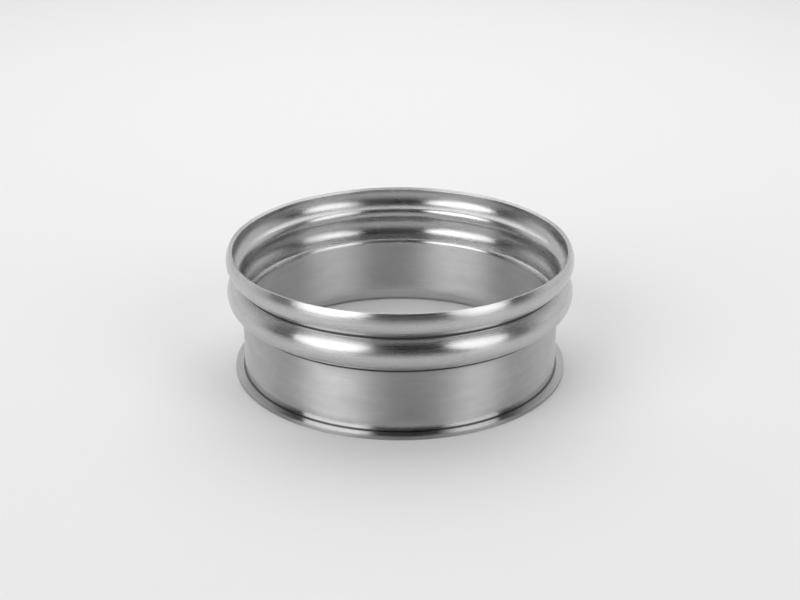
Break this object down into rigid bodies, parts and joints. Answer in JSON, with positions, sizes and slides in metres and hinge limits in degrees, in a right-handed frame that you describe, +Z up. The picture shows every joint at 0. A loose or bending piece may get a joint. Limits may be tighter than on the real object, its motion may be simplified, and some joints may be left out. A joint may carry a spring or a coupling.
{
  "type": "lipped spigot",
  "caption": "Short round stainless steel tubing spigot with a flat outward lip at its base and rolled beads with a fold between them below its open rim.",
  "frame": {"origin": "centre of the lip's underside, on the axis", "axes": "+Z up the axis from the lip to the open rim; the ring is the same all round, so +X and +Y are any two directions across it"},
  "size_m": [0.168, 0.168, 0.0627],
  "materials": {
    "stainless": "satin stainless steel, brushed around the axis, with smoother, brighter beads"
  },
  "bodies": {
    "root": {"spigot": "stainless"}
  },
  "joints": []
}
